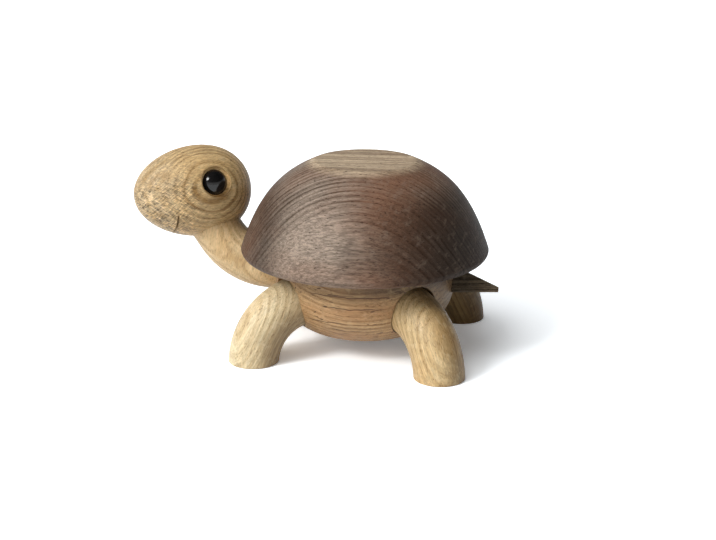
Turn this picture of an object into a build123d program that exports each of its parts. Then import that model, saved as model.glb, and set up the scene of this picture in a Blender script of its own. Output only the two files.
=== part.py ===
from build123d import *
import math
import os

# A wooden turtle figurine. The turtle faces +X, its left side is +Y, and it stands on z = 0.
# Lengths are in millimetres. Heights are measured from the floor, and reaches from the upright
# axis of the shell, until the finished pieces are moved to the middle of their common box.

# Shell, a turned dome
shell_radius = 50.0
shell_underside_height = 36.9
shell_edge_width = 4.6
shell_edge_height = 3.45
shell_dome_height = 35.75
shell_top_radius = 20.4
shell_top_edge_radius = 1.6
flank_handle_shares = (0.25, 0.63)
crown_handle_shares = (0.446, 0.155)

# Body, a turned bowl that closes the shell from below
body_radius = 36.3
body_shoulder_height = 26.0
body_floor_radius = 12.0
body_floor_height = 5.6

# Round stock of the legs and the neck, and the pockets that hold it
limb_radius = 10.0
pocket_clearance = 0.4

# Legs
leg_height = 22.1
leg_bend_radius = 23.0
leg_root_run = 5.0
front_foot_spread = 14.05
front_foot_angle = 39.3
rear_foot_spread = 15.3
rear_foot_angle = 133.8
sole_edge = 0.4

# Neck
neck_height = 31.0
neck_pocket_depth = 5.3
neck_bend_start = 38.8
neck_bend_radius = 25.0
neck_bend_angle = 56.0
neck_end_run = 6.4
notch_clearance = 0.5

# Head, a turned egg with its blunt end at the back
head_half_length = 24.35
head_radius = 18.65
head_widest_setback = 3.0
nose_handle_shares = (0.58, 0.48)
back_handle_shares = (0.51, 0.67)
head_nod = 6.7
head_turn = 40.0
head_seat_sink = 0.7
head_turning_gap = 0.25
mouth_reach = 10.9
mouth_drop = 10.7
mouth_width = 0.8
mouth_lean = 4.0

# Eyes
eye_setback = 4.6
eye_rise = 0.7
eye_radius = 5.15
eye_seat_gap = 1.2
eye_seat_depth = 2.6
eye_dome_height = 3.4
eye_shank_radius = 1.5
eye_shank_length = 6.5

# Tail
tail_reach = 54.5
tail_drop = 12.5
tail_edge_height = 1.6
tail_tip_half_width = 1.0
tail_tip_gable = 0.3
tail_root_half_width = 5.0
tail_root_ridge = 10.9
tail_root_overlap = 2.0

# Dowels, and the pin and bush that carry the head
dowel_fit = 0.05
dowel_end_room = 0.5
limb_dowel_body_depth = 8.0
limb_dowel_limb_depth = 9.0
leg_dowel_radius = 4.0
neck_dowel_radius = 3.0
neck_dowel_drop = 4.0
shell_dowel_radius = 5.0
shell_dowel_body_depth = 10.0
shell_dowel_shell_depth = 14.0
tail_dowel_radius = 1.5
tail_dowel_body_depth = 8.0
tail_dowel_tail_share = 0.28
tail_dowel_rise = 3.0
pivot_pin_radius = 3.0
pivot_pin_neck_depth = 12.0
pivot_pin_head_depth = 14.0
pivot_running_fit = 0.05
pivot_bush_radius = 5.0
pivot_bush_length = 12.0

# One overrun carries every cut clear of the surface that it opens
overrun = 5.0

quarter_turn = 90


def rod(start, direction, length, radius):
    """Round rod from a start point along a direction."""
    return extrude(Plane(origin=start, z_dir=direction) * Circle(radius), length)


def quarter_ellipse(centre, width, depth):
    """Lower outer quarter of an ellipse, from the point below the centre to the point beside it."""
    return EllipticalCenterArc(centre, width, depth, start_angle=-quarter_turn, arc_size=quarter_turn)


def dowel_and_bore(seat, direction, inward_depth, outward_depth, radius):
    """A dowel across the joint at seat, and the slightly larger bore that takes it."""
    dowel_start = Vector(*seat) - Vector(*direction) * inward_depth
    bore_start = dowel_start - Vector(*direction) * dowel_end_room
    dowel_length = inward_depth + outward_depth
    dowel = rod(dowel_start, direction, dowel_length, radius)
    bore = rod(bore_start, direction, dowel_length + 2 * dowel_end_room, radius + dowel_fit)
    return dowel, bore


def bent_limb(radius, first_run, bend_radius, bend_angle, last_run, way):
    """Round limb from the origin along +X that bends up (way 1) or down (way -1) in the XZ plane."""
    straight = rod((0, 0, 0), (1, 0, 0), first_run, radius)
    bend_start = Plane(origin=(first_run, 0, 0), z_dir=(1, 0, 0)) * Circle(radius)
    bend_axis = Axis((first_run, 0, way * bend_radius), (0, -way, 0))
    bend = revolve(bend_start, axis=bend_axis, revolution_arc=bend_angle)
    turned = math.radians(bend_angle)
    end_x = first_run + bend_radius * math.sin(turned)
    end_z = way * (bend_radius - bend_radius * math.cos(turned))
    end_direction = (math.cos(turned), 0, way * math.sin(turned))
    end = rod((end_x, 0, end_z), end_direction, last_run, radius)
    return straight + bend + end


# Legs

def leg_places():
    """Name, angle around the shell and foot reach of each leg. The feet stand clear of the body."""
    front_foot_reach = body_radius + front_foot_spread
    rear_foot_reach = body_radius + rear_foot_spread
    return (
        ("front_left", front_foot_angle, front_foot_reach),
        ("front_right", -front_foot_angle, front_foot_reach),
        ("rear_left", rear_foot_angle, rear_foot_reach),
        ("rear_right", -rear_foot_angle, rear_foot_reach),
    )


def leg_root(foot_reach):
    """Middle of the floor of a leg's pocket, set back so that the bent leg lands on its foot."""
    drop = min(leg_height, leg_bend_radius)
    bend_advance = math.sqrt(leg_bend_radius**2 - (leg_bend_radius - drop) ** 2)
    return foot_reach - bend_advance - leg_root_run, 0, leg_height


def leg_blank(foot_reach, radius):
    """Leg along +X, from the floor of its pocket to well below the floor that it stands on."""
    blank = bent_limb(radius, leg_root_run, leg_bend_radius, quarter_turn, leg_height, -1)
    return Pos(*leg_root(foot_reach)) * blank


def ground(foot_reach):
    """Block below the floor, wide enough to cut the foot flat."""
    side = 4 * foot_reach + 4 * limb_radius
    depth = 2 * leg_height + leg_bend_radius
    return Box(side, side, depth, align=(Align.CENTER, Align.CENTER, Align.MAX))


def leg_dowel_and_bore(foot_reach):
    """The dowel of a leg along +X, and its bore."""
    depths = limb_dowel_body_depth, limb_dowel_limb_depth
    return dowel_and_bore(leg_root(foot_reach), (1, 0, 0), *depths, leg_dowel_radius)


def make_leg(foot_reach, bore):
    """Leg along +X, cut flat at the sole and bored for its dowel."""
    leg = leg_blank(foot_reach, limb_radius) - ground(foot_reach) - bore
    sole = leg.faces().sort_by(Axis.Z)[0]
    return chamfer(sole.outer_wire().edges(), sole_edge)


def leg_pocket(foot_reach):
    """Space that a leg takes in the body: a straight bore, and room for the start of the bend."""
    radius = limb_radius + pocket_clearance
    bore = rod(leg_root(foot_reach), (1, 0, 0), body_radius, radius)
    return bore + leg_blank(foot_reach, radius)


# Neck

def neck_root():
    """Middle of the floor of the neck's pocket."""
    return body_radius - neck_pocket_depth, 0, neck_height


def neck_end():
    """Centre of the neck's end before its last straight run, and the way it points."""
    turned = math.radians(neck_bend_angle)
    x = neck_bend_start + neck_bend_radius * math.sin(turned)
    z = neck_height + neck_bend_radius - neck_bend_radius * math.cos(turned)
    return Vector(x, 0, z), Vector(math.cos(turned), 0, math.sin(turned))


def neck_blank(radius):
    """Neck from the floor of its pocket to the seat under the head."""
    first_run = neck_bend_start - neck_root()[0]
    blank = bent_limb(radius, first_run, neck_bend_radius, neck_bend_angle, neck_end_run, 1)
    return Pos(*neck_root()) * blank


def neck_dowel_and_bore():
    """The dowel between the neck and the body, and its bore, low enough to stay under the shell."""
    seat = Vector(*neck_root()) - Vector(0, 0, neck_dowel_drop)
    depths = limb_dowel_body_depth, limb_dowel_limb_depth
    return dowel_and_bore(seat, (1, 0, 0), *depths, neck_dowel_radius)


# Head

def seat_distance():
    """From the head's middle to the flat where the neck ends, along the pivot."""
    return math.sqrt(head_radius**2 - limb_radius**2) - head_seat_sink


def pivot():
    """Middle of the neck's end face, the way the pivot points, and the middle of the head."""
    bend_end, direction = neck_end()
    neck_top = bend_end + direction * neck_end_run
    head_middle = neck_top + direction * (head_turning_gap + seat_distance())
    return neck_top, direction, head_middle


def egg():
    """The egg along X about the origin, with its nose towards +X."""
    nose_up, nose_along = nose_handle_shares
    back_up, back_along = back_handle_shares
    nose_length = head_half_length + head_widest_setback
    back_length = head_half_length - head_widest_setback
    nose_handle = (nose_along * nose_length - head_widest_setback, head_radius)
    back_handle = (-back_along * back_length - head_widest_setback, head_radius)
    nose_tip = (head_half_length, 0)
    back_tip = (-head_half_length, 0)
    widest = (-head_widest_setback, head_radius)
    nose = Bezier(nose_tip, (head_half_length, nose_up * head_radius), nose_handle, widest)
    back = Bezier(widest, back_handle, (-head_half_length, back_up * head_radius), back_tip)
    middle = Line(back_tip, nose_tip)
    return revolve(make_face(nose + back + middle), axis=Axis.X)


def eye_seat_offset():
    """From the head's middle plane to the floor of an eye seat."""
    return head_radius - eye_seat_depth


def eye_cut(side):
    """Round seat of an eye and the bore for its shank, on the left (side 1) or right (side -1)."""
    floor = (-eye_setback, side * eye_seat_offset(), eye_rise)
    seat = rod(floor, (0, side, 0), eye_seat_depth + overrun, eye_radius + eye_seat_gap)
    shank_depth = eye_shank_length + dowel_end_room
    return seat + rod(floor, (0, -side, 0), shank_depth, eye_shank_radius + dowel_fit)


def mouth_cut():
    """One straight saw cut across the underside of the snout, leaning back as it goes down."""
    depth = head_radius + overrun
    cut = Box(mouth_width, 4 * head_radius, depth, align=(Align.CENTER, Align.CENTER, Align.MAX))
    return Pos(mouth_reach, 0, -mouth_drop) * Rot(0, mouth_lean, 0) * cut


def make_eye(side):
    """Domed eye with a shank, standing on the floor of its seat."""
    ball_radius = (eye_radius**2 + eye_dome_height**2) / (2 * eye_dome_height)
    ball = Pos(0, 0, eye_dome_height - ball_radius) * Sphere(ball_radius)
    dome = ball & rod((0, 0, 0), (0, 0, 1), eye_dome_height + overrun, ball_radius + overrun)
    eye = dome + rod((0, 0, 0), (0, 0, -1), eye_shank_length, eye_shank_radius)
    seat = Plane(origin=(-eye_setback, side * eye_seat_offset(), eye_rise), z_dir=(0, side, 0))
    return seat.location * eye


def placed_on_neck(solid):
    """A piece of the head, nodded and moved to its place with the nose straight ahead."""
    return Pos(*pivot()[2]) * Rot(0, head_nod, 0) * solid


def turned_on_pivot(solid):
    """A piece of the head, turned about the pivot to the turtle's left."""
    neck_top, direction, head_middle = pivot()
    return solid.rotate(Axis(head_middle, direction), head_turn)


def make_pivot():
    """Pin, bush, and the cuts that they need in the neck and in the head."""
    neck_top, direction, head_middle = pivot()
    seat = neck_top + direction * head_turning_gap
    pin_foot = neck_top - direction * pivot_pin_neck_depth
    pin_length = pivot_pin_neck_depth + head_turning_gap + pivot_pin_head_depth
    pin = rod(pin_foot, direction, pin_length, pivot_pin_radius)
    neck_bore_start = pin_foot - direction * dowel_end_room
    neck_bore_length = pivot_pin_neck_depth + dowel_end_room + overrun
    neck_bore = rod(neck_bore_start, direction, neck_bore_length, pivot_pin_radius + dowel_fit)
    bush = rod(seat, direction, pivot_bush_length, pivot_bush_radius)
    bush_bore_start = seat - direction * overrun
    bush_bore_length = pivot_bush_length + 2 * overrun
    bush = bush - rod(bush_bore_start, direction, bush_bore_length, pivot_pin_radius + pivot_running_fit)
    bush_hole = rod(seat, direction, pivot_bush_length, pivot_bush_radius + dowel_fit)
    pin_hole_length = pivot_pin_head_depth + dowel_end_room
    pin_hole = rod(seat, direction, pin_hole_length, pivot_pin_radius + pivot_running_fit)
    pocket_radius = limb_radius + head_turning_gap
    pocket = rod(seat, direction * -1, head_radius, pocket_radius)
    return pin, neck_bore, bush, pocket + bush_hole + pin_hole


def make_head(pivot_cut):
    """The egg with its mouth, its eye seats and the pocket for the neck."""
    head = egg() - mouth_cut() - eye_cut(1) - eye_cut(-1)
    return placed_on_neck(head) - pivot_cut


# Tail

def house(x, half_width, edge_height, ridge):
    """Five-sided section of the tail: flat below, low upright sides and a gabled top."""
    corners = (
        (x, -half_width, 0),
        (x, half_width, 0),
        (x, half_width, edge_height),
        (x, 0, ridge),
        (x, -half_width, edge_height),
    )
    return Face(Wire.make_polygon([Vector(*corner) for corner in corners], close=True))


def tail_bottom():
    """Height of the tail's flat underside."""
    return shell_underside_height - tail_drop


def make_tail(bore):
    """Tail that tapers from its root in the body's wall to a blunt tip."""
    root_x = tail_root_overlap - body_radius
    tip = house(-tail_reach, tail_tip_half_width, tail_edge_height, tail_edge_height + tail_tip_gable)
    root = house(root_x, tail_root_half_width, tail_edge_height, tail_root_ridge)
    spike = Solid.make_loft([tip.outer_wire(), root.outer_wire()], True)
    wall = rod((0, 0, 0), (0, 0, 1), shell_underside_height, body_radius + dowel_fit)
    return Pos(0, 0, tail_bottom()) * spike - wall - bore


def tail_dowel_and_bore():
    """The dowel between the tail and the body, and its bore."""
    seat = (-body_radius, 0, tail_bottom() + tail_dowel_rise)
    tail_depth = tail_dowel_tail_share * (tail_reach - body_radius)
    return dowel_and_bore(seat, (-1, 0, 0), tail_dowel_body_depth, tail_depth, tail_dowel_radius)


# Shell and body

def shell_dowel_and_bore():
    """The upright dowel between the body and the shell, and its bore."""
    seat = (0, 0, shell_underside_height)
    depths = shell_dowel_body_depth, shell_dowel_shell_depth
    return dowel_and_bore(seat, (0, 0, 1), *depths, shell_dowel_radius)


def make_shell(bore):
    """Turned dome, notched at the front for the neck."""
    rim_height = shell_underside_height + shell_edge_height
    top_height = rim_height + shell_dome_height
    underside_radius = shell_radius - shell_edge_width
    flank_in, flank_up = flank_handle_shares
    crown_out, crown_down = crown_handle_shares
    dome_run = shell_radius - shell_top_radius
    flank_handle = (shell_radius - flank_in * dome_run, rim_height + flank_up * shell_dome_height)
    crown_handle = (shell_top_radius + crown_out * dome_run, top_height - crown_down * shell_dome_height)
    rim = (shell_radius, rim_height)
    crown = (shell_top_radius, top_height)
    underside = Line((0, shell_underside_height), (underside_radius, shell_underside_height))
    edge = quarter_ellipse((underside_radius, rim_height), shell_edge_width, shell_edge_height)
    flank = Bezier(rim, flank_handle, crown_handle, crown)
    top = Line(crown, (0, top_height))
    middle = Line((0, top_height), (0, shell_underside_height))
    profile = make_face(underside + edge + flank + top + middle)
    dome = revolve(Plane.XZ * profile, axis=Axis.Z)
    top_edge = dome.faces().sort_by(Axis.Z)[-1].outer_wire().edges()
    return fillet(top_edge, shell_top_edge_radius) - neck_blank(limb_radius + notch_clearance) - bore


def make_body(bores):
    """Turned bowl with a pocket for each limb and bores for the dowels."""
    shoulder = (body_radius, body_shoulder_height)
    bowl_width = body_radius - body_floor_radius
    bowl_depth = body_shoulder_height - body_floor_height
    floor = Line((0, body_floor_height), (body_floor_radius, body_floor_height))
    bowl = quarter_ellipse((body_floor_radius, body_shoulder_height), bowl_width, bowl_depth)
    wall = Line(shoulder, (body_radius, shell_underside_height))
    top = Line((body_radius, shell_underside_height), (0, shell_underside_height))
    middle = Line((0, shell_underside_height), (0, body_floor_height))
    body = revolve(Plane.XZ * make_face(floor + bowl + wall + top + middle), axis=Axis.Z)
    for name, angle, foot_reach in leg_places():
        body = body - Rot(0, 0, angle) * leg_pocket(foot_reach)
    body = body - rod(neck_root(), (1, 0, 0), body_radius, limb_radius + pocket_clearance)
    for bore in bores:
        body = body - bore
    return body


def make_pieces():
    """Every piece in its place, by name."""
    pieces = {}
    neck_dowel, neck_bore = neck_dowel_and_bore()
    tail_dowel, tail_bore = tail_dowel_and_bore()
    shell_dowel, shell_bore = shell_dowel_and_bore()
    pin, pin_bore, bush, head_pivot_cut = make_pivot()
    bores = [neck_bore, tail_bore, shell_bore]
    for name, angle, foot_reach in leg_places():
        around = Rot(0, 0, angle)
        leg_dowel, leg_bore = leg_dowel_and_bore(foot_reach)
        pieces["leg_" + name] = around * make_leg(foot_reach, leg_bore)
        pieces["leg_dowel_" + name] = around * leg_dowel
        bores.append(around * leg_bore)
    pieces["body"] = make_body(bores)
    pieces["shell"] = make_shell(shell_bore)
    pieces["shell_dowel"] = shell_dowel
    pieces["neck"] = neck_blank(limb_radius) - neck_bore - pin_bore
    pieces["neck_dowel"] = neck_dowel
    pieces["tail"] = make_tail(tail_bore)
    pieces["tail_dowel"] = tail_dowel
    pieces["head_pivot_pin"] = pin
    pieces["head_pivot_bush"] = turned_on_pivot(bush)
    pieces["head"] = turned_on_pivot(make_head(head_pivot_cut))
    pieces["eye_left"] = turned_on_pivot(placed_on_neck(make_eye(1)))
    pieces["eye_right"] = turned_on_pivot(placed_on_neck(make_eye(-1)))
    return pieces


pieces = make_pieces()
box = Compound(children=list(pieces.values())).bounding_box()
to_middle = Pos(-box.center().X, -box.center().Y, -box.min.Z)

os.makedirs("parts", exist_ok=True)
for name, piece in pieces.items():
    placed = to_middle * piece
    solid = placed.solid()
    solid.label = name
    export_step(solid, "parts/" + name + ".step")

neck_top, direction, head_middle = pivot()
print("moved by", to_middle.position)
print("pivot point", to_middle.position + head_middle, "direction", direction)
for name, angle, foot_reach in leg_places():
    turned = math.radians(angle)
    foot = Vector(foot_reach * math.cos(turned), foot_reach * math.sin(turned), 0)
    print("sole", name, to_middle.position + foot)
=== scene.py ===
import math

import bmesh
import bpy
from mathutils import Matrix, Vector


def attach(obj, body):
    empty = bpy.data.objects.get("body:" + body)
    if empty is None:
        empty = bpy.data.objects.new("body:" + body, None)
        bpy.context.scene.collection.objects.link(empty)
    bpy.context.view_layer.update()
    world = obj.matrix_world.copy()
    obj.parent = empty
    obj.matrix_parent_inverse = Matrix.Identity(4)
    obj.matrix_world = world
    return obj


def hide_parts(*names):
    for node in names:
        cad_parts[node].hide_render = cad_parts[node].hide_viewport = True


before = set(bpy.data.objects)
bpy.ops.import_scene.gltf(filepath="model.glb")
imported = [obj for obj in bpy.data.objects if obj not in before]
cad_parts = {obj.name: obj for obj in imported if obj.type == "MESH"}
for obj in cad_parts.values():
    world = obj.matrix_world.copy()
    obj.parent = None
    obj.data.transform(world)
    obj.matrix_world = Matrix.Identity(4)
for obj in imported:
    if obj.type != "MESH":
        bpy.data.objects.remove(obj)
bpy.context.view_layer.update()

# The turtle faces +X, its left side is +Y and +Z is up. Blender works in metres. The sizes of the
# limbs, and all places and sizes in the wood, are written in millimetres.
PER_METRE = 1000.0
MM = 1 / PER_METRE
ORIGIN = (0.0, 0.0, 0.0)
AHEAD = (1.0, 0.0, 0.0)
LEFT = (0.0, 1.0, 0.0)
UP = (0.0, 0.0, 1.0)
QUARTER_TURN = 90.0

# Camera, at the photograph's viewing angle
CAMERA_PLACE = Vector((-0.11669, 0.56831, 0.20618))
CAMERA_FORWARD = Vector((0.16539, -0.94207, -0.29181))
CAMERA_RIGHT = Vector((-0.98468, -0.17433, 0.00468))
CAMERA_LENS = 74.49
CAMERA_SENSOR = 36.0
CAMERA_NEAR = 0.01

# Each lamp's azimuth, elevation and spread in degrees, its strength, and whether gloss mirrors it
LAMPS = {
    "key_lamp": (44.0, 39.0, 20.0, 1.75, True),
    "softbox": (36.0, 44.0, 64.0, 1.65, False),
    "high_lamp": (20.0, 76.0, 50.0, 1.15, False),
    "fill_lamp": (92.0, 22.0, 40.0, 0.4, False),
}

# The light of the dim room, and the rise of the line of sight over which the white backdrop fades
WHITE = (1.0, 1.0, 1.0, 1.0)
ROOM_STRENGTH = 0.02
BACKDROP_STRENGTH = 1.0
BACKDROP_FADE = (0.15, 0.4)

# The floor's reach in metres, its colour to the lamps, and its colour and glow to the camera
FLOOR_REACH = 4.0
FLOOR_PLAIN = (0.8, 0.8, 0.8, 1.0)
FLOOR_SEEN = (1.26, 1.31, 1.35, 1.0)
FLOOR_GLOW = 0.17


class Tree:
    """Short calls that add nodes to a tree and link them."""

    def __init__(self, owner):
        if isinstance(owner, bpy.types.NodeTree):
            self.tree = owner
        else:
            owner.use_nodes = True
            self.tree = owner.node_tree
        self.tree.nodes.clear()

    def add(self, kind, **settings):
        node = self.tree.nodes.new(kind)
        for key, value in settings.items():
            setattr(node, key, value)
        return node

    def feed(self, socket, value):
        """Links an output to the socket, or sets the socket to a plain value."""
        if isinstance(value, bpy.types.NodeSocket):
            self.tree.links.new(value, socket)
        else:
            socket.default_value = value

    def math(self, operation, first, second=0.0, clamp=False):
        node = self.add("ShaderNodeMath", operation=operation, use_clamp=clamp)
        self.feed(node.inputs[0], first)
        self.feed(node.inputs[1], second)
        return node.outputs[0]

    def times(self, first, *others):
        for other in others:
            first = self.math("MULTIPLY", first, other)
        return first

    def plus(self, first, *others):
        for other in others:
            first = self.math("ADD", first, other)
        return first

    def minus(self, first, second):
        return self.math("SUBTRACT", first, second)

    def vector_math(self, operation, first, second):
        node = self.add("ShaderNodeVectorMath", operation=operation)
        self.feed(node.inputs[0], first)
        self.feed(node.inputs["Scale" if operation == "SCALE" else 1], second)
        return node.outputs["Value" if operation == "DOT_PRODUCT" else "Vector"]

    def vector(self, x, y, z):
        node = self.add("ShaderNodeCombineXYZ")
        for socket, value in zip(node.inputs, (x, y, z)):
            self.feed(socket, value)
        return node.outputs[0]

    def noise(self, place, scale, detail=2.0, roughness=0.5):
        node = self.add("ShaderNodeTexNoise", noise_dimensions="3D")
        self.feed(node.inputs["Vector"], place)
        self.feed(node.inputs["Scale"], scale)
        self.feed(node.inputs["Detail"], detail)
        self.feed(node.inputs["Roughness"], roughness)
        return node.outputs["Fac"]

    def span(self, value, low, high, to_low=0.0, to_high=1.0):
        """Maps low..high to to_low..to_high and keeps to that range, with soft ends."""
        node = self.add("ShaderNodeMapRange", interpolation_type="SMOOTHSTEP", clamp=True)
        for socket, number in zip(node.inputs, (value, low, high, to_low, to_high)):
            self.feed(socket, number)
        return node.outputs[0]

    def spans(self, value, stretches):
        """One span of the value for each named stretch of it."""
        return {name: self.span(value, *stretch) for name, stretch in stretches.items()}

    def blend(self, share, first, second):
        node = self.add("ShaderNodeMix", data_type="RGBA")
        self.feed(node.inputs[0], share)
        self.feed(node.inputs[6], first)
        self.feed(node.inputs[7], second)
        return node.outputs[2]

    def surface(self, base, rough, height, strength, depth, even):
        """The shader of a surface. Its height gives a relief, as strong and as deep in millimetres
        as told, and even gives what is the same all over it."""
        bump = self.add("ShaderNodeBump")
        self.feed(bump.inputs["Height"], height)
        self.feed(bump.inputs["Strength"], strength)
        self.feed(bump.inputs["Distance"], depth / PER_METRE)
        shader = self.add("ShaderNodeBsdfPrincipled")
        self.feed(shader.inputs["Base Color"], base)
        self.feed(shader.inputs["Roughness"], rough)
        self.feed(shader.inputs["Normal"], bump.outputs[0])
        for socket, value in even.items():
            self.feed(shader.inputs[socket], value)
        self.feed(self.add("ShaderNodeOutputMaterial").inputs["Surface"], shader.outputs[0])


def colour(red, green, blue):
    """A colour as a picture shows it, from 0 to 255, turned into what the shader takes."""
    linear = []
    for level in (red / 255, green / 255, blue / 255):
        linear.append(level / 12.92 if level <= 0.04045 else ((level + 0.055) / 1.055) ** 2.4)
    return (*linear, 1.0)


def way_out(azimuth, drop=0.0):
    """The way outward at azimuth and down by drop, both in degrees."""
    around, down = math.radians(azimuth), math.radians(drop)
    return (math.cos(around) * math.cos(down), math.sin(around) * math.cos(down), -math.sin(down))


# Camera, lamps and floor

def put_camera():
    """The camera that the photograph was taken with, as near as its lines tell."""
    data = bpy.data.cameras.new("camera")
    data.sensor_fit = "HORIZONTAL"
    data.sensor_width = CAMERA_SENSOR
    data.lens = CAMERA_LENS
    data.clip_start = CAMERA_NEAR
    camera = bpy.data.objects.new("camera", data)
    bpy.context.scene.collection.objects.link(camera)
    back = -CAMERA_FORWARD.normalized()
    right = (CAMERA_RIGHT - back * CAMERA_RIGHT.dot(back)).normalized()
    turn = Matrix((right, back.cross(right), back)).transposed()
    camera.matrix_world = Matrix.Translation(CAMERA_PLACE) @ turn.to_4x4()
    bpy.context.scene.camera = camera


def put_lamp(name, azimuth, elevation, spread, strength, mirrored):
    """A soft far lamp that shines from an angle around and above the turtle."""
    data = bpy.data.lights.new(name, "SUN")
    data.angle = math.radians(spread)
    data.energy = strength
    lamp = bpy.data.objects.new(name, data)
    bpy.context.scene.collection.objects.link(lamp)
    lamp.location = way_out(azimuth, -elevation)
    lamp.rotation_euler = (-lamp.location).to_track_quat("-Z", "Y").to_euler()
    lamp.visible_glossy = mirrored


def seen_or_mirrored(tree):
    """1 where the camera sees a surface, in a mirror or through glass too, and 0 for its light."""
    path = tree.add("ShaderNodeLightPath").outputs
    mirrored = tree.math("MAXIMUM", path["Is Glossy Ray"], path["Is Transmission Ray"])
    return tree.math("MAXIMUM", path["Is Camera Ray"], mirrored)


def light_studio():
    """A key lamp, a wide softbox, a high lamp and a low fill at the turtle's left, in a dim room.

    The camera and gloss see a white backdrop near the floor, which fades upward into the room."""
    for name, settings in LAMPS.items():
        put_lamp(name, *settings)
    world = bpy.data.worlds.new("surround")
    bpy.context.scene.world = world
    surround = Tree(world)
    upward = surround.add("ShaderNodeSeparateXYZ")
    surround.feed(upward.inputs[0], surround.add("ShaderNodeTexCoord").outputs["Generated"])
    backdrop = surround.span(upward.outputs[2], *BACKDROP_FADE, 1.0, 0.0)
    mix = surround.add("ShaderNodeMixShader")
    surround.feed(mix.inputs[0], surround.times(seen_or_mirrored(surround), backdrop))
    for socket, strength in zip(mix.inputs[1:], (ROOM_STRENGTH, BACKDROP_STRENGTH)):
        side = surround.add("ShaderNodeBackground")
        surround.feed(side.inputs["Color"], WHITE)
        surround.feed(side.inputs["Strength"], strength)
        surround.feed(socket, side.outputs[0])
    surround.feed(surround.add("ShaderNodeOutputWorld").inputs[0], mix.outputs[0])


def put_floor():
    """Plain pale floor that keeps the turtle's shadow and is white elsewhere to the camera."""
    reach = FLOOR_REACH
    mesh = bpy.data.meshes.new("floor")
    corners = [(-reach, -reach, 0), (reach, -reach, 0), (reach, reach, 0), (-reach, reach, 0)]
    mesh.from_pydata(corners, [], [(0, 1, 2, 3)])
    floor = bpy.data.objects.new("floor", mesh)
    bpy.context.scene.collection.objects.link(floor)
    material = bpy.data.materials.new("pale_floor")
    tree = Tree(material)
    seen = seen_or_mirrored(tree)
    paint = tree.add("ShaderNodeBsdfDiffuse")
    tree.feed(paint.inputs["Color"], tree.blend(seen, FLOOR_PLAIN, FLOOR_SEEN))
    glow = tree.add("ShaderNodeEmission")
    tree.feed(glow.inputs["Strength"], tree.times(seen, FLOOR_GLOW))
    add = tree.add("ShaderNodeAddShader")
    tree.feed(add.inputs[0], paint.outputs[0])
    tree.feed(add.inputs[1], glow.outputs[0])
    tree.feed(tree.add("ShaderNodeOutputMaterial").inputs["Surface"], add.outputs[0])
    mesh.materials.append(material)


# Bent limbs: the legs and the neck are one round rod each, bent along an arc

LIMB_LENGTHS = ("Radius", "Root run", "Bend radius", "End run", "Floor depth", "Sole edge")

# The rows of a limb's sheet: the root's middle is row 0, and the last is the end's middle
ROOT_RIM_ROW = 1
BEND_START_ROW = 2
BEND_ROWS = 72
END_RIM_ROW = BEND_START_ROW + BEND_ROWS
END_MIDDLE_ROW = END_RIM_ROW + 1
HALF_ROW = 0.5
ROUND_COLUMNS = 128

# How near points are merged, in metres, and how sharp an edge stays sharp, in radians
MERGE_REACH = 0.000002
SHARP_ANGLE = 0.5

# The upright axis of the shell, that the limbs stand around, and the limbs' sizes in millimetres.
# A leg bends until it meets the floor, and the neck has none to meet.
SHELL_AXIS_X = -19.7112
LIMB_RADIUS = 10.0
LEG_HEIGHT = 22.1
LEG_BEND = 23.0
LEG_ROOT_RUN = 5.0
SOLE_EDGE = 0.4
NECK_ROOT = 31.0
NECK_HEIGHT = 31.0
NECK_ROOT_RUN = 7.8
NECK_BEND = 25.0
NECK_ANGLE = 56.0
NECK_END_RUN = 6.4
NO_FLOOR = 1000.0
UPWARD, DOWNWARD = 1.0, -1.0


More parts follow.
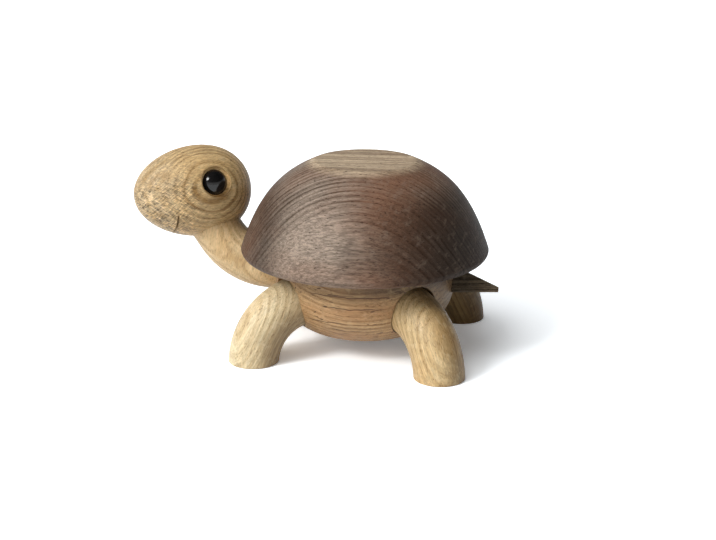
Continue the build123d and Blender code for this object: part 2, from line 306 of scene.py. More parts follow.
def limb_tree():
    """Geometry nodes that bend a rod along +X and end it square, or flat on the floor."""
    group = bpy.data.node_groups.new("bent_limb", "GeometryNodeTree")
    for name in (*LIMB_LENGTHS, "Bend angle", "Way"):
        group.interface.new_socket(name=name, in_out="INPUT", socket_type="NodeSocketFloat")
    group.interface.new_socket(name="Wood", in_out="INPUT", socket_type="NodeSocketMaterial")
    group.interface.new_socket(name="Limb", in_out="OUTPUT", socket_type="NodeSocketGeometry")
    tree = Tree(group)
    size = tree.add("NodeGroupInput").outputs

    # A sheet of side 1 with a row per station along the limb, and a column per angle around it
    sheet = tree.add("GeometryNodeMeshGrid")
    for socket, value in zip(sheet.inputs, (1.0, 1.0, END_MIDDLE_ROW + 1, ROUND_COLUMNS + 1)):
        tree.feed(socket, value)
    place = tree.add("ShaderNodeSeparateXYZ")
    tree.feed(place.inputs[0], tree.add("GeometryNodeInputPosition").outputs[0])
    row = tree.math("ROUND", tree.times(tree.plus(place.outputs[0], 0.5), END_MIDDLE_ROW))
    angle = tree.times(tree.plus(place.outputs[1], 0.5), 2 * math.pi)
    past_root = tree.math("GREATER_THAN", row, BEND_START_ROW - HALF_ROW)
    is_end = tree.math("GREATER_THAN", row, END_RIM_ROW - HALF_ROW)
    past_middle = tree.math("GREATER_THAN", row, ROOT_RIM_ROW - HALF_ROW)
    is_rim = tree.times(past_middle, tree.math("LESS_THAN", row, END_MIDDLE_ROW - HALF_ROW))

    # Distance from the middle of the bend, and how far round the bend that line of the rod goes
    inset = tree.times(size["Sole edge"], is_end)
    radius = tree.times(tree.minus(size["Radius"], inset), is_rim)
    reach = tree.plus(size["Bend radius"], tree.times(radius, tree.math("COSINE", angle)))
    lift = tree.minus(size["Sole edge"], inset)
    floor = tree.plus(tree.minus(size["Bend radius"], size["Floor depth"]), lift)
    to_floor = tree.math("MAXIMUM", tree.math("DIVIDE", floor, reach), -1.0)
    to_floor = tree.math("ARCCOSINE", to_floor)
    whole_turn = tree.math("MINIMUM", to_floor, size["Bend angle"])
    share = tree.math("DIVIDE", tree.minus(row, BEND_START_ROW), BEND_ROWS - 1, clamp=True)
    turn = tree.times(whole_turn, share)
    sine, cosine = tree.math("SINE", turn), tree.math("COSINE", turn)

    run = tree.times(size["End run"], is_end)
    root = tree.times(size["Root run"], past_root)
    x = tree.plus(root, tree.plus(tree.times(reach, sine), tree.times(run, cosine)))
    y = tree.times(radius, tree.math("SINE", angle))
    sink = tree.minus(size["Bend radius"], tree.times(reach, cosine))
    z = tree.times(tree.plus(sink, tree.times(run, sine)), size["Way"])
    move = tree.add("GeometryNodeSetPosition")
    tree.feed(move.inputs["Geometry"], sheet.outputs["Mesh"])
    tree.feed(move.inputs["Position"], tree.vector(x, y, z))

    # Close the seam and the two ends, and keep the rims sharp
    join = tree.add("GeometryNodeMergeByDistance")
    tree.feed(join.inputs["Geometry"], move.outputs[0])
    tree.feed(join.inputs["Distance"], MERGE_REACH)
    soft = tree.add("GeometryNodeSetShadeSmooth", domain="EDGE")
    tree.feed(soft.inputs["Geometry"], join.outputs[0])
    bend = tree.add("GeometryNodeInputMeshEdgeAngle").outputs["Unsigned Angle"]
    tree.feed(soft.inputs["Shade Smooth"], tree.math("LESS_THAN", bend, SHARP_ANGLE))
    real = tree.add("GeometryNodeRealizeInstances")
    tree.feed(real.inputs[0], soft.outputs[0])
    finish = tree.add("GeometryNodeSetMaterial")
    tree.feed(finish.inputs["Geometry"], real.outputs[0])
    tree.feed(finish.inputs["Material"], size["Wood"])
    tree.feed(tree.add("NodeGroupOutput").inputs["Limb"], finish.outputs[0])
    return group


def make_limb(group, name, lengths, angle, way, material, root, azimuth):
    """One limb, from the floor of its pocket outward at azimuth, bent up or down by an angle."""
    holder = bpy.data.objects.new(name, bpy.data.meshes.new(name))
    bpy.context.scene.collection.objects.link(holder)
    nodes = holder.modifiers.new("bent_limb", "NODES")
    nodes.node_group = group
    values = {size: length * MM for size, length in zip(LIMB_LENGTHS, lengths)}
    values.update({"Bend angle": math.radians(angle), "Way": way, "Wood": material})
    for item in group.interface.items_tree:
        if item.in_out == "INPUT":
            nodes[item.identifier] = values[item.name]
    evaluated = holder.evaluated_get(bpy.context.evaluated_depsgraph_get())
    mesh = bpy.data.meshes.new_from_object(evaluated)
    holder.modifiers.remove(nodes)
    turn = Matrix.Rotation(math.radians(azimuth), 4, "Z")
    mesh.transform(Matrix.Translation(Vector(root) * MM) @ turn)
    shape = bmesh.new()
    shape.from_mesh(mesh)
    bmesh.ops.recalc_face_normals(shape, faces=shape.faces)
    shape.to_mesh(mesh)
    shape.free()
    mesh.name = name
    holder.data = mesh
    return holder


# Places in a piece of wood, in millimetres

def away_from(tree, middle):
    """The way from a point to a place in the piece, in metres."""
    place = tree.add("ShaderNodeTexCoord").outputs["Object"]
    return tree.vector_math("SUBTRACT", place, Vector(middle) / PER_METRE)


def reach_along(tree, middle, way):
    """How far a place lies from middle along a way."""
    return tree.vector_math("DOT_PRODUCT", away_from(tree, middle), Vector(way) * PER_METRE)


def distance_from(tree, middle, *ways):
    """Distance from a line through middle, square to each of the ways."""
    reaches = [reach_along(tree, middle, way) for way in ways]
    return tree.math("SQRT", tree.plus(*(tree.times(reach, reach) for reach in reaches)))


def grain_frame(tree, fibre, across, heart):
    """Places in the wood: along the fibre, across the rings and along the rings."""
    along = Vector(fibre).normalized()
    outward = Vector(across)
    outward = (outward - along * outward.dot(along)).normalized()
    return [reach_along(tree, heart, way) for way in (along, outward, along.cross(outward))]


def squeeze(tree, grain, along, outward=1.0, sideways=1.0):
    """A place in the grain, squeezed in each way, so that noise there comes out drawn out."""
    shares = zip(grain, (along, outward, sideways))
    return tree.vector(*(tree.times(part, share) for part, share in shares))


# The looks of the woods. A stretch is the share to which the wood is squeezed along the fibre, so
# that a small one draws the marks out, and a side is the same along the rings. Scales are per
# millimetre. Depths, heights and sinks are shares.
OAK = {
    # Growth rings: their waves, their width in millimetres, and where their dark line fades
    "wave_stretch": 0.3, "wave_scale": 0.03, "wave": 7.0, "ripple_scale": 0.18, "ripple": 0.7,
    "ring": 2.2, "ring_rise": 0.3, "ring_fall": 0.5, "ring_depth": 0.5,
    "each_ring_scale": 0.83, "each_ring_least": 0.4, "plain_fade": 0.85,
    # Thin streaks that follow the rings, and short light and dark dashes along the fibre
    "streak_stretch": 0.012, "streak_side": 0.1, "streak_scale": 1.3, "streak_depth": 0.4,
    "dash_stretch": 0.15, "dash_scale": 1.3, "dash_depth": 0.08,
    # Coarse pores that gather on the ring lines, and fine ones as shares of them
    "pore_stretch": 0.2, "pore_scale": 2.4, "pore_level": 0.68, "pore_edge": 0.06,
    "pore_gather": 0.12, "pore_depth": 0.7,
    "fine_stretch": 0.7, "fine_scale": 1.9, "fine_level": 0.56, "fine_edge": 0.14,
    "fine_depth": 0.5,
    # Fibres, slow changes of warmth, long cracks and pale rays
    "fibre_stretch": 0.05, "fibre_scale": 2.0, "fibre_depth": 0.12,
    "cloud_stretch": 0.4, "cloud_scale": 0.06, "cloud_depth": 0.5,
    "crack_stretch": 0.018, "crack_scale": 0.9, "crack_level": 0.9, "crack_edge": 0.03,
    "crack_depth": 0.85,
    "ray_stretch": 0.5, "ray_outward": 0.35, "ray_scale": 0.5, "ray_reach": (0.54, 0.7),
    "ray_depth": 0.25,
    # Crossed flecks on wood that shows the ends of its fibres: their slope and their noise
    "fleck_slope": 0.8, "fleck_stretch": 0.14, "fleck_outward": 0.25, "fleck_scale": 1.5,
    "fleck_reach": (0.4, 0.6),
    # Bands of a second pair of colours, where a piece has one
    "band_stretch": 0.015, "band_side": 0.5, "band_scale": 0.4, "band_reach": (0.36, 0.64),
    # The oiled surface and its relief in millimetres
    "rough": 0.45, "rough_change": 0.05, "pore_rough": 0.2, "gloss": 0.35,
    "relief": 0.12, "relief_strength": 0.8, "fibre_height": 0.2, "dash_height": 0.6,
    "mark_sink": 0.8, "ring_sink": 0.25, "fleck_height": 0.5,
}
# The smoked oak's other colours are the shell crown's tan: partly its own paler top, partly painted
# light
SMOKED = dict(
    OAK, pale=colour(133, 119, 106), dark=colour(46, 33, 24), warm=colour(102, 73, 56),
    ray=colour(146, 131, 117), pore=colour(28, 18, 13),
    other_pale=colour(199, 179, 151), other_dark=colour(140, 121, 99),
    wave=4.5, ripple=0.25, ring=2.0, ring_rise=0.15, ring_fall=0.45, ring_depth=0.7,
    streak_depth=0.5, dash_depth=0.17, fine_level=0.53, cloud_depth=0.35, ray_depth=0.16,
    rough=0.55, gloss=0.09, relief=0.22,
)
TAIL_OAK = dict(
    SMOKED, pale=colour(126, 112, 92), dark=colour(44, 33, 22), ring_depth=0.5, dash_depth=0.1,
)
BODY_OAK = dict(
    OAK, pale=colour(198, 164, 118), dark=colour(134, 99, 63), warm=colour(168, 126, 84),
    ray=colour(206, 175, 132), pore=colour(66, 40, 25),
    streak_depth=0.65, dash_depth=0.14, pore_stretch=0.07, pore_scale=3.4, pore_depth=0.55,
    cloud_scale=0.08, cloud_depth=0.8, crack_level=0.68, relief=0.18,
)
CREAM_OAK = dict(
    OAK, pale=colour(219, 203, 166), dark=colour(160, 132, 88), warm=colour(196, 164, 118),
    ray=colour(228, 213, 180), pore=colour(116, 88, 56),
    streak_scale=1.9, streak_depth=0.3, dash_depth=0.14, pore_depth=0.55, cloud_depth=0.35,
)
GOLDEN_OAK = dict(
    OAK, pale=colour(209, 185, 141), dark=colour(160, 130, 84), warm=colour(190, 155, 104),
    ray=colour(224, 205, 165), pore=colour(106, 78, 46),
    ring_depth=0.6, streak_scale=1.9, streak_depth=0.45, dash_depth=0.14, pore_depth=0.6,
)
# The rear right leg's oak: the golden oak darker, as painted shade
PAINTED_SHADE_OAK = dict(
    GOLDEN_OAK, pale=colour(150, 128, 90), dark=colour(98, 75, 43), warm=colour(128, 99, 60),
    ray=colour(158, 136, 98), gloss=0.15,
)
NECK_OAK = dict(
    OAK, pale=colour(216, 191, 148), dark=colour(178, 146, 100), warm=colour(204, 165, 111),
    ray=colour(234, 212, 170), pore=colour(140, 100, 58), dash_depth=0.12, pore_depth=0.55,
)
HEAD_OAK = dict(
    OAK, pale=colour(216, 188, 140), dark=colour(128, 94, 50), warm=colour(196, 160, 106),
    ray=colour(222, 201, 158), pore=colour(88, 64, 36),
    other_pale=colour(189, 168, 135), other_dark=colour(148, 120, 80),
    ring=1.5, ring_depth=0.75, streak_depth=0.5, dash_depth=0.16, fine_level=0.5,
    fleck_depth=0.56, relief=0.2,
)
BEECH = dict(
    OAK, pale=colour(222, 190, 150), dark=colour(198, 160, 118), warm=colour(214, 176, 134),
    ray=colour(200, 160, 116), pore=colour(160, 118, 78),
    ring_depth=0.25, pore_scale=3.4, pore_depth=0.35, ray_depth=0.4,
)

# Noise seldom leaves its middle, so these reaches of it make its full contrast
NOISE_MIDDLE = 0.5
NOISE_REACH = (0.3, 0.7)
FIBRE_REACH = (0.25, 0.75)
SHEEN_REACH = (0.2, 0.8)
CLOUD_REACH = (0.35, 0.65)

# Detail and roughness of the noise that draws each mark
STREAK_NOISE = (2.0, 0.65)
DASH_NOISE = (2.0, 0.7)
PORE_NOISE = (1.0, 0.4)
FINE_PORE_NOISE = (1.0, 0.5)
FIBRE_NOISE = (3.0, 0.7)
RAY_NOISE = (2.0, 0.6)
CRACK_NOISE = (1.0, 0.4)
FLECK_NOISE = (1.0, 0.5)
BAND_NOISE = (3.0, 0.6)
LEG_PAINTED_SHADE_NOISE = (2.0, 0.6)
LINE_NOISE = (2.0, 0.6)
DUST_NOISE = (3.0, 0.6)


def ring_lines(tree, look, grain):
    """Curved rings round a distant heart, made wavy: how far out a place is, and the dark lines."""
    _, outward, sideways = grain
    bow = tree.math("SQRT", tree.plus(tree.times(outward, outward), tree.times(sideways, sideways)))
    drift = squeeze(tree, grain, look["wave_stretch"])
    for bend in ("wave", "ripple"):
        swing = tree.minus(tree.noise(drift, look[bend + "_scale"]), NOISE_MIDDLE)
        bow = tree.plus(bow, tree.times(swing, look[bend]))
    count = tree.math("DIVIDE", bow, look["ring"])
    step = tree.math("FRACT", count)
    rise = tree.span(step, 0.0, look["ring_rise"])
    fall = tree.span(step, look["ring_fall"], 1.0, 1.0, 0.0)
    line = tree.minus(1.0, tree.times(rise, fall))
    ring_place = tree.vector(tree.math("FLOOR", count), 0.0, 0.0)
    each_ring = tree.noise(ring_place, look["each_ring_scale"], 0.0)
    return bow, tree.times(line, tree.span(each_ring, *NOISE_REACH, look["each_ring_least"], 1.0))


def pore_marks(tree, look, grain, ring_line):
    """Short dark dashes along the fibre, coarse ones on the ring lines and fine ones between."""
    along, outward, sideways = grain
    coarse = squeeze(tree, grain, look["pore_stretch"])
    coarse = tree.noise(coarse, look["pore_scale"], *PORE_NOISE)
    level = tree.minus(look["pore_level"], tree.times(ring_line, look["pore_gather"]))
    coarse = tree.math("DIVIDE", tree.minus(coarse, level), look["pore_edge"], clamp=True)
    fine_stretch = look["pore_stretch"] * look["fine_stretch"]
    fine_place = squeeze(tree, (along, sideways, outward), fine_stretch)
    fine = tree.noise(fine_place, look["pore_scale"] * look["fine_scale"], *FINE_PORE_NOISE)
    fine = tree.span(fine, look["fine_level"], look["fine_level"] + look["fine_edge"])
    return tree.math("MAXIMUM", coarse, tree.times(fine, look["fine_depth"]))


def crossed_flecks(tree, look, grain):
    """Crossed light and dark strokes, from -1 to 1."""
    along, outward, sideways = grain
    stretch = look["fleck_stretch"]
    flecks = []
    for slope in (look["fleck_slope"], -look["fleck_slope"]):
        stroke = tree.minus(tree.times(along, stretch), tree.times(sideways, stretch * slope))
        beside = tree.plus(sideways, tree.times(along, slope))
        place = tree.vector(stroke, tree.times(outward, look["fleck_outward"]), beside)
        strokes = tree.noise(place, look["fleck_scale"], *FLECK_NOISE)
        flecks.append(tree.span(strokes, *look["fleck_reach"], -0.5, 0.5))
    return tree.plus(*flecks)


def wood(name, fibre, across, heart, look, marks=None):
    """Oak with growth rings, streaks, pores, rays, slow changes of tone and an oiled surface.

    marks gives the shares of what is special to one piece: how plain, how warm, how flecked and
    how far in its other colours a place is, how light its tone is, and the dark lines drawn on it.
    On the shell, body, tail, legs and head, much of that tone is painted light and shade."""
    material = bpy.data.materials.new(name)
    tree = Tree(material)
    grain = grain_frame(tree, fibre, across, heart)
    along, _, sideways = grain
    special = marks(tree) if marks else {}
    plain = special.get("plain", 0.0)

    # Where the surface runs along a ring, the rings and streaks fade and the dashes gain
    bow, ring_line = ring_lines(tree, look, grain)
    lined = tree.minus(1.0, tree.times(plain, look["plain_fade"]))
    ring_line = tree.times(ring_line, lined)
    streak_along = tree.times(along, look["streak_stretch"])
    streak_place = tree.vector(streak_along, bow, tree.times(sideways, look["streak_side"]))
    streaks = tree.noise(streak_place, look["streak_scale"], *STREAK_NOISE)
    streaks = tree.times(tree.span(streaks, *NOISE_REACH), lined, look["streak_depth"])
    ring_dark = tree.times(ring_line, look["ring_depth"])
    darkness = tree.math("ADD", ring_dark, streaks, clamp=True)
    dashes = squeeze(tree, grain, look["dash_stretch"])
    dashes = tree.noise(dashes, look["dash_scale"], *DASH_NOISE)
    dash_depth = tree.plus(look["dash_depth"], tree.times(plain, look["dash_depth"]))
    dash_tone = tree.times(tree.span(dashes, *NOISE_REACH, -1.0, 1.0), dash_depth)

    # Pores, fibres, slow clouds of warmth, rays, long cracks and flecks
    pores = pore_marks(tree, look, grain, ring_line)
    fibres = squeeze(tree, grain, look["fibre_stretch"])
    fibres = tree.noise(fibres, look["fibre_scale"], *FIBRE_NOISE)
    cloud = tree.noise(squeeze(tree, grain, look["cloud_stretch"]), look["cloud_scale"])
    rays = squeeze(tree, grain, look["ray_stretch"], look["ray_outward"])
    rays = tree.span(tree.noise(rays, look["ray_scale"], *RAY_NOISE), *look["ray_reach"])
    cracks = squeeze(tree, grain, look["crack_stretch"])
    cracks = tree.noise(cracks, look["crack_scale"], *CRACK_NOISE)
    cracks = tree.minus(cracks, look["crack_level"])
    cracks = tree.math("DIVIDE", cracks, look["crack_edge"], clamp=True)
    flecks = 0.0
    if "fleck" in special:
        flecks = crossed_flecks(tree, look, grain)
        flecks = tree.times(flecks, special["fleck"], look["fleck_depth"])

    # Colour: from pale to dark, then warmed, toned, and marked with rays, pores and cracks
    shade = tree.blend(darkness, look["pale"], look["dark"])
    warmth = tree.span(cloud, *CLOUD_REACH, 0.0, look["cloud_depth"])
    warmth = tree.math("ADD", warmth, special.get("warm", 0.0), clamp=True)
    shade = tree.blend(warmth, shade, look["warm"])
    if "other" in special:
        bands = squeeze(tree, grain, look["band_stretch"], 1.0, look["band_side"])
        bands = tree.span(tree.noise(bands, look["band_scale"], *BAND_NOISE), *look["band_reach"])
        other = tree.blend(bands, look["other_pale"], look["other_dark"])
        shade = tree.blend(special["other"], shade, other)
    fibre_depth = look["fibre_depth"]
    tone = tree.span(fibres, *FIBRE_REACH, 1 - fibre_depth, 1 + fibre_depth)
    # the piece's tone, which carries painted light and shade on several pieces
    tone = tree.times(tree.plus(tone, dash_tone, flecks), special.get("tone", 1.0))
    shade = tree.vector_math("SCALE", shade, tone)
    shade = tree.blend(tree.times(rays, look["ray_depth"]), shade, look["ray"])
    pore_dark = tree.times(pores, look["pore_depth"])
    dark_marks = tree.math("MAXIMUM", pore_dark, tree.times(cracks, look["crack_depth"]))
    dark_marks = tree.math("MAXIMUM", dark_marks, special.get("line", 0.0))
    shade = tree.blend(dark_marks, shade, look["pore"])

    # Surface: marks and ring lines lie lower, dashes and flecks rise and sink
    rough, change = look["rough"], look["rough_change"]
    rough = tree.span(fibres, *SHEEN_REACH, rough - change, rough + change)
    rough = tree.math("ADD", rough, tree.times(pores, look["pore_rough"]), clamp=True)
    height = tree.plus(
        tree.times(fibres, look["fibre_height"]),
        tree.times(dash_tone, look["dash_height"]),
        tree.times(dark_marks, -look["mark_sink"]),
        tree.times(ring_line, -look["ring_sink"]),
        tree.times(flecks, look["fleck_height"]),
    )
    even = {"Specular IOR Level": look["gloss"]}
    tree.surface(shade, rough, height, look["relief_strength"], look["relief"], even)
    return material


# Marks of the pieces. Each stretch is from and to in millimetres, and the share, or what the tone
# is multiplied by, at its two ends. Those of the shell, body and tail run along the turtle's length
# or up its height. Much of the tone they give is painted light and shade.

# The shell's plain flank, where the rings fade, and how much its painted sheen lifts the tone
SHELL_FLANK = (-13.0, 0.0, 38.0)
SHELL_PLAIN = (19.0, 32.0, 1.0, 0.0)
SHELL_PAINTED_SHEEN_LIFT = 0.24
# Along the length: back darkens the back as painted shade, deeper low down by low_back, and
# back_rim lightens the back's high rim as a painted sheen; band_front and band_back bound a painted
# shade band; front darkens towards the front and front_rim lightens its rim; the warm stretches
# warm the wood
SHELL_LENGTH = {
    "front": (1.0, 15.0, 1.0, 0.58),
    "front_rim": (15.0, 25.0, 1.0, 1.35),
    "back": (-54.0, -24.0, 0.35, 1.0),
    "back_rim": (-68.0, -57.0, 0.7, 0.0),
    "low_back": (-58.0, -50.0, 0.3, 0.0),
    "band_front": (-21.0, -15.0, 0.32, 0.0),
    "band_back": (-44.0, -32.0, 0.0, 1.0),
    "warm_back": (-60.0, -36.0, 0.4, 1.0),
    "warm_middle": (-33.0, -13.0, 0.55, 0.0),
    "warm_front": (10.0, 26.0, 0.0, 0.5),
}
# Up the height: back_rim and low_back place the back's painted sheen and deeper painted shade,
# band_foot and band_top bound the painted shade band, even_top evens the darker ends out towards
# the top, upper paints the upper shell lighter as painted light, lower_edge lightens the lowest
# edge a little, crown_edge darkens the tone towards the crown, and crown paints the crown pale,
# partly its own paler top and partly painted light
SHELL_HEIGHT = {
    "back_rim": (50.0, 60.0, 0.0, 1.0),
    "low_back": (52.0, 62.0, 1.0, 0.0),
    "band_foot": (40.0, 48.0, 0.0, 1.0),
    "band_top": (48.0, 58.0, 1.0, 0.0),
    "even_top": (62.0, 73.0, 0.0, 0.85),
    "lower_edge": (37.5, 41.0, 1.1, 1.0),
    "upper": (55.0, 73.0, 1.0, 1.34),
    "crown_edge": (73.9, 76.5, 1.0, 0.76),
    "crown": (73.9, 76.5, 0.0, 0.9),
}

# Each crack's height and its back and front end, the length of its fading ends, and its depth
BODY_CRACKS = ((18.6, -22.0, 1.0), (25.3, -36.0, -8.0), (30.0, -40.0, -1.0))
CRACK_BACK_TAPER = 8.0
CRACK_FRONT_TAPER = 6.0
CRACK_WIDTH = (0.06, 0.28, 0.9, 0.0)
CRACK_WANDER = 1.8
CRACK_WANDER_SCALE = 0.12
BODY_LEFT = (0.0, 10.0)
# Painted shade at the body's back, and a painted shadow of the shell's rim along its top
BODY_PAINTED_BACK_SHADE = (-57.0, -42.0, 0.4, 1.0)
BODY_RIM_SHADOW_HEIGHT = (27.0, 33.0)
BODY_RIM_SHADOW_LENGTH = (-34.0, -4.0, 0.68, 0.15)
# The tail's painted shade near the body, under the shell, and painted light towards its tip
TAIL_PAINTED_LIGHT = (-73.0, -61.0, 1.35, 0.65)

# The painted shade on the side of a leg towards the tail begins and is full at these shares of
# the limb's radius
LEG_PAINTED_SHADE_REACH = (0.2, 0.9)
LEG_PAINTED_SHADE_DEPTH = 0.38
LEG_PAINTED_SHADE_WARMTH = 0.6
LEG_PAINTED_SHADE_LINE_STRETCH = 1.5
LEG_PAINTED_SHADE_LINE_SCALE = 0.9
LEG_PAINTED_SHADE_LINES = (0.5, 0.7, 0.0, 0.3)

# The turned head: its middle, the ways of its nose and its crown, and where the eye seats lie.
# Its stretches run towards the nose, towards the crown, or outward from an eye seat's edge.
HEAD_MIDDLE = Vector((51.945, 0.0, 60.004))
NOSE = Vector((0.8208, 0.5712, -0.0004))
CROWN = Vector((0.2056, -0.2948, 0.9332))
EYE_SETBACK = 4.6
EYE_RISE = 0.7
EYE_SEAT_RADIUS = 6.35
HEAD_LENGTH = {
    "nose": (5.0, 18.0, 0.0, 0.7),
    "fleck": (-2.0, 11.0, 0.1, 1.0),
    # nape paints the back of the head lighter, as painted light
    "nape": (-20.0, -9.0, 1.35, 1.0),
}
HEAD_HEIGHT = (-3.0, 7.0, 1.0, 0.3)
EYE_SEAT = {
    # cut paints the eye seat's cut wood paler, partly its own pale cut wood and partly painted
    # light on its wall
    "cut": (0.0, 0.15, 1.3, 1.0),
    "outside": (0.0, 0.1, 0.0, 1.0),
    "rim": (0.15, 0.5, 0.35, 0.0),
}


def shell_marks(tree):
    """The shell's flank is plain with a painted sheen, its crown pale, partly its own paler top and
    partly painted light, its middle warm, its front darker and its back in painted shade.

    The painted shade and the darker front even out towards the top, the back's rim has a painted
    sheen, a painted shade band lies low behind the flank, and the upper shell is painted lighter."""
    length = tree.spans(reach_along(tree, ORIGIN, AHEAD), SHELL_LENGTH)
    height = tree.spans(reach_along(tree, ORIGIN, UP), SHELL_HEIGHT)
    plain = tree.span(distance_from(tree, SHELL_FLANK, AHEAD, UP), *SHELL_PLAIN)
    # painted sheen: the plain flank is painted lighter
    painted_sheen = tree.plus(1.0, tree.times(plain, SHELL_PAINTED_SHEEN_LIFT))
    warm = tree.plus(tree.times(length["warm_back"], length["warm_middle"]), length["warm_front"])
    # painted shade over the back, with a painted sheen at its high rim and deeper painted shade low
    # down
    back_rim = tree.times(length["back_rim"], height["back_rim"])
    low_back = tree.times(length["low_back"], height["low_back"])
    back = tree.times(length["back"], tree.minus(tree.plus(1.0, back_rim), low_back))
    ends = tree.times(length["front"], length["front_rim"], back)
    ends = tree.plus(ends, tree.times(height["even_top"], tree.minus(1.0, ends)))
    # a painted shade band low behind the flank
    band = tree.times(
        length["band_front"], length["band_back"], height["band_top"], height["band_foot"],
    )
    # painted light: the upper shell lighter, outside the painted shade band
    lift = tree.times(height["upper"], height["lower_edge"], height["crown_edge"])
    lift = tree.times(lift, tree.minus(1.0, band))
    # the crown pale, partly its own paler top and partly painted light
    tone = tree.math("MAXIMUM", tree.times(painted_sheen, ends, lift), height["crown"])
    return {"plain": plain, "tone": tone, "warm": warm, "other": height["crown"]}


def body_marks(tree):
    """Three long thin cracks in the body's left flank, painted shade at its back, and a painted
    shadow of the shell's rim along its top.
    """
    length = reach_along(tree, ORIGIN, AHEAD)
    height = reach_along(tree, ORIGIN, UP)
    wander = tree.noise(tree.vector(length, 0.0, 0.0), CRACK_WANDER_SCALE)
    height = tree.plus(height, tree.times(tree.minus(wander, NOISE_MIDDLE), CRACK_WANDER))
    lines = 0.0
    for rise, back, front in BODY_CRACKS:
        from_line = tree.math("ABSOLUTE", tree.minus(height, rise))
        line = tree.times(
            tree.span(length, back, back + CRACK_BACK_TAPER),
            tree.span(length, front - CRACK_FRONT_TAPER, front, 1.0, 0.0),
            tree.span(from_line, *CRACK_WIDTH),
        )
        lines = tree.math("MAXIMUM", lines, line)
    left = tree.span(reach_along(tree, ORIGIN, LEFT), *BODY_LEFT)
    # a painted shadow of the shell's rim along the top, and painted shade at the back
    top = tree.times(tree.span(height, *BODY_RIM_SHADOW_HEIGHT), tree.span(length, *BODY_RIM_SHADOW_LENGTH))
    tone = tree.times(tree.span(length, *BODY_PAINTED_BACK_SHADE), tree.minus(1.0, top))
    return {"line": tree.times(lines, left), "tone": tone}


def tail_marks(tree):
    """The tail is painted darker near the body, as painted shade under the shell, and lighter
    towards its tip, as painted light.
    """
    return {"tone": tree.span(reach_along(tree, ORIGIN, AHEAD), *TAIL_PAINTED_LIGHT)}


def leg_marks(root, azimuth):
    """The side of a leg towards the tail is painted shade: darker and warmer, with fine dark lines.
    """
    outward = Vector(way_out(azimuth))
    sideways = Vector((-outward.y, outward.x, 0.0))
    middle = Vector(root) + outward * LEG_ROOT_RUN - Vector((0.0, 0.0, LEG_BEND))

    def marks(tree):
        from_bend = distance_from(tree, middle, outward, UP)
        inward = tree.times(tree.minus(LEG_BEND, from_bend), outward.x)
        beside = tree.times(reach_along(tree, root, sideways), outward.y)
        tailward = tree.plus(inward, beside)
        start, full = LEG_PAINTED_SHADE_REACH
        painted_shade = tree.span(tailward, start * LIMB_RADIUS, full * LIMB_RADIUS)
        line_place = tree.vector(tree.times(from_bend, LEG_PAINTED_SHADE_LINE_STRETCH), tailward, 0.0)
        lines = tree.noise(line_place, LEG_PAINTED_SHADE_LINE_SCALE, *LEG_PAINTED_SHADE_NOISE)
        lines = tree.times(tree.span(lines, *LEG_PAINTED_SHADE_LINES), painted_shade)
        # painted shade: darker and warmer on the side towards the tail
        tone = tree.minus(1.0, tree.times(painted_shade, LEG_PAINTED_SHADE_DEPTH))
        return {
            "tone": tree.minus(tone, lines),
            "warm": tree.times(painted_shade, LEG_PAINTED_SHADE_WARMTH),
        }

    return marks


def head_marks(tree):
    """Crossed flecks on the greyer nose, a nape painted lighter as painted light, and each eye
    seat's cut wood, paler partly of itself and partly as painted light, and dark rim."""
    length = tree.spans(reach_along(tree, HEAD_MIDDLE, NOSE), HEAD_LENGTH)
    low = tree.span(reach_along(tree, HEAD_MIDDLE, CROWN), *HEAD_HEIGHT)
    eye = HEAD_MIDDLE - NOSE * EYE_SETBACK + CROWN * EYE_RISE
    from_seat = tree.minus(distance_from(tree, eye, NOSE, CROWN), EYE_SEAT_RADIUS)
    seat = tree.spans(from_seat, EYE_SEAT)
    return {
        "fleck": tree.times(length["fleck"], low),
        # painted light: the lighter nape, and in part the eye seat's paler cut wood
        "tone": tree.times(seat["cut"], length["nape"]),
        "line": tree.times(seat["outside"], seat["rim"]),
        "plain": length["nose"],
        "other": length["nose"],
    }


# Other materials

# The way of the head's pivot, and the colours of what it turns on
PIVOT_WAY = (0.559193, 0.0, 0.829038)
STEEL = (0.5, 0.5, 0.52)
BUSH_PLASTIC = (0.78, 0.77, 0.73)

# The faint lines and patches of a made surface, and its relief in millimetres
LINE_STRETCH = 0.08
LINE_SCALE = 3.0
PATCH_SCALE = 0.4
MADE_ROUGH_CHANGE = 0.15
MADE_RELIEF = 0.01
MADE_RELIEF_STRENGTH = 0.4

# The black of the eyes, how uneven and how dusty its coat is, and its relief in millimetres
EYE_BLACKS = ((0.004, 0.004, 0.004, 1.0), (0.009, 0.008, 0.008, 1.0))
COAT_SCALE = 0.25
DUST_SCALE = 2.5
DUST_ROUGHNESS = (0.3, 0.75, 0.1, 0.16)
COAT_IOR = 1.45
COAT_RELIEF = 0.05
COAT_RELIEF_STRENGTH = 0.3


def even_surface(name, along, base, variation, rough, metal):
    """A made surface with faint lines along one way and a faint change of tone and of polish."""
    material = bpy.data.materials.new(name)
    tree = Tree(material)
    grain = grain_frame(tree, along, LEFT, ORIGIN)
    lines = tree.noise(squeeze(tree, grain, LINE_STRETCH), LINE_SCALE, *LINE_NOISE)
    patches = tree.noise(tree.vector(*grain), PATCH_SCALE)
    low = tuple(level * (1 - variation) for level in base) + (1.0,)
    high = tuple(min(level * (1 + variation), 1.0) for level in base) + (1.0,)
    shade = tree.blend(tree.span(patches, *NOISE_REACH), low, high)
    least, most = rough * (1 - MADE_ROUGH_CHANGE), rough * (1 + MADE_ROUGH_CHANGE)
    rough = tree.span(lines, *NOISE_REACH, least, most)
    tree.surface(shade, rough, lines, MADE_RELIEF_STRENGTH, MADE_RELIEF, {"Metallic": metal})
    return material


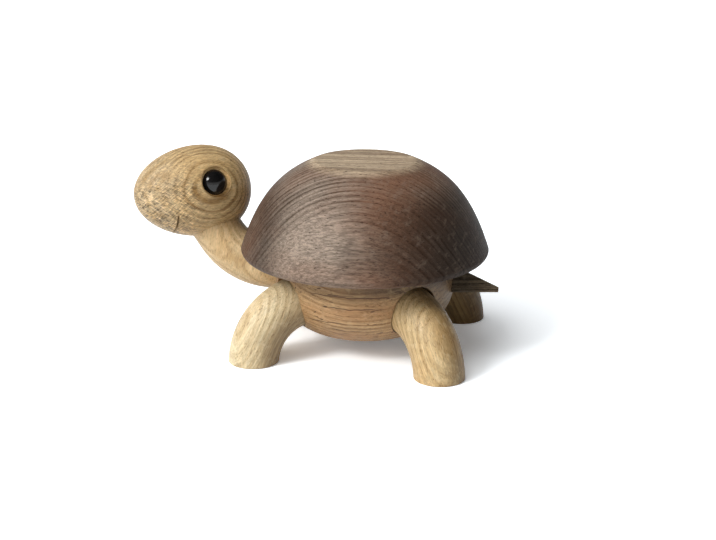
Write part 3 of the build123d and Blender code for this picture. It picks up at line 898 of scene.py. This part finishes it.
def black_gloss():
    """Polished black of the eyes, with the faint unevenness of a hand-dipped coat."""
    material = bpy.data.materials.new("eye_black")
    tree = Tree(material)
    place = tree.vector(*grain_frame(tree, AHEAD, LEFT, ORIGIN))
    patches = tree.noise(place, COAT_SCALE)
    dust = tree.noise(place, DUST_SCALE, *DUST_NOISE)
    shade = tree.blend(tree.span(patches, *NOISE_REACH), *EYE_BLACKS)
    rough = tree.span(dust, *DUST_ROUGHNESS)
    tree.surface(shade, rough, patches, COAT_RELIEF_STRENGTH, COAT_RELIEF, {"IOR": COAT_IOR})
    return material


# The pieces

# Each leg's azimuth in degrees, how far out its foot stands from the shell's axis, and its wood
LEGS = {
    "front_left": (39.3, 50.35, CREAM_OAK),
    "front_right": (-39.3, 50.35, CREAM_OAK),
    "rear_left": (133.8, 51.6, GOLDEN_OAK),
    "rear_right": (-133.8, 51.6, PAINTED_SHADE_OAK),
}
LEG_GRAIN_DROP = 60.0
LEG_HEART_DEPTH = 20.0

# How each board lay in its tree: the way of the fibre, a way across the rings, and the heart
SHELL_BOARD = ((1.0, 0.06, 0.0), (0.0, 1.0, -0.4), (-20.0, -95.0, 75.0))
TAIL_BOARD = (AHEAD, (0.0, 0.3, 1.0), (-60.0, 0.0, -20.0))
BODY_BOARD = ((1.0, 0.0, 0.05), (0.0, 0.3, 1.0), (-20.0, -15.0, -70.0))
HEAD_BOARD = ((NOSE.x, NOSE.y, 0.0), (-NOSE.y, NOSE.x, 0.35), (76.9, -50.0, 40.0))
NECK_BOARD = ((-0.2, 0.0, 1.0), (0.2, 1.0, 0.0), (30.0, -40.0, 40.0))
LEG_DOWEL_HEART = (0.0, 0.0, -30.0)
DOWEL_ACROSS = (0.0, 1.0, 0.1)
DOWEL_HEART = (0.0, -30.0, 0.0)


def dress(node, material):
    """Gives a CAD piece its finish."""
    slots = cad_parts[node].data.materials
    slots.clear()
    slots.append(material)


def dress_turtle():
    """Each turned or carved piece's wood, with the fibre the way that its board was cut."""
    dress("shell", wood("smoked_oak_shell", *SHELL_BOARD, SMOKED, shell_marks))
    dress("tail", wood("smoked_oak_tail", *TAIL_BOARD, TAIL_OAK, tail_marks))
    dress("body", wood("body_oak", *BODY_BOARD, BODY_OAK, body_marks))
    dress("head", wood("head_oak", *HEAD_BOARD, HEAD_OAK, head_marks))


def make_limbs():
    """The four legs and the neck, bent from round rod."""
    group = limb_tree()
    bend_reach = math.sqrt(LEG_BEND**2 - (LEG_BEND - LEG_HEIGHT) ** 2)
    lengths = (LIMB_RADIUS, LEG_ROOT_RUN, LEG_BEND, 0.0, LEG_HEIGHT, SOLE_EDGE)
    for place, (azimuth, foot_reach, look) in LEGS.items():
        around = math.radians(azimuth)
        out = foot_reach - bend_reach - LEG_ROOT_RUN
        root = (SHELL_AXIS_X + out * math.cos(around), out * math.sin(around), LEG_HEIGHT)
        across = way_out(azimuth, LEG_GRAIN_DROP - QUARTER_TURN)
        heart = Vector(root) - Vector(across) * LEG_HEART_DEPTH
        board = (way_out(azimuth, LEG_GRAIN_DROP), across, heart)
        material = wood("leg_oak_" + place, *board, look, leg_marks(root, azimuth))
        name = "bent_leg_" + place
        leg = make_limb(group, name, lengths, QUARTER_TURN, DOWNWARD, material, root, azimuth)
        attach(leg, "torso")
        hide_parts("leg_" + place)
    material = wood("neck_oak", *NECK_BOARD, NECK_OAK)
    lengths = (LIMB_RADIUS, NECK_ROOT_RUN, NECK_BEND, NECK_END_RUN, NO_FLOOR, 0.0)
    root = (SHELL_AXIS_X + NECK_ROOT, 0.0, NECK_HEIGHT)
    neck = make_limb(group, "bent_neck", lengths, NECK_ANGLE, UPWARD, material, root, 0.0)
    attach(neck, "torso")
    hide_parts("neck")


def dress_joints():
    """The hidden dowels, pin and bush."""
    for place, (azimuth, _, _) in LEGS.items():
        name = "leg_dowel_" + place
        board = (way_out(azimuth), UP, LEG_DOWEL_HEART)
        dress(name, wood("beech_" + name, *board, BEECH))
    for name, fibre in (("neck_dowel", AHEAD), ("tail_dowel", AHEAD), ("shell_dowel", UP)):
        dress(name, wood("beech_" + name, fibre, DOWEL_ACROSS, DOWEL_HEART, BEECH))
    pin = even_surface("pin_steel", PIVOT_WAY, STEEL, variation=0.1, rough=0.3, metal=1.0)
    dress("head_pivot_pin", pin)
    bush = even_surface(
        "bush_plastic", PIVOT_WAY, BUSH_PLASTIC, variation=0.05, rough=0.45, metal=0.0,
    )
    dress("head_pivot_bush", bush)


def dress_eyes():
    """The two glossy black eyes."""
    black = black_gloss()
    dress("eye_left", black)
    dress("eye_right", black)


put_camera()
light_studio()
put_floor()
dress_turtle()
make_limbs()
dress_joints()
dress_eyes()

bpy.context.scene.view_settings.view_transform = "Standard"
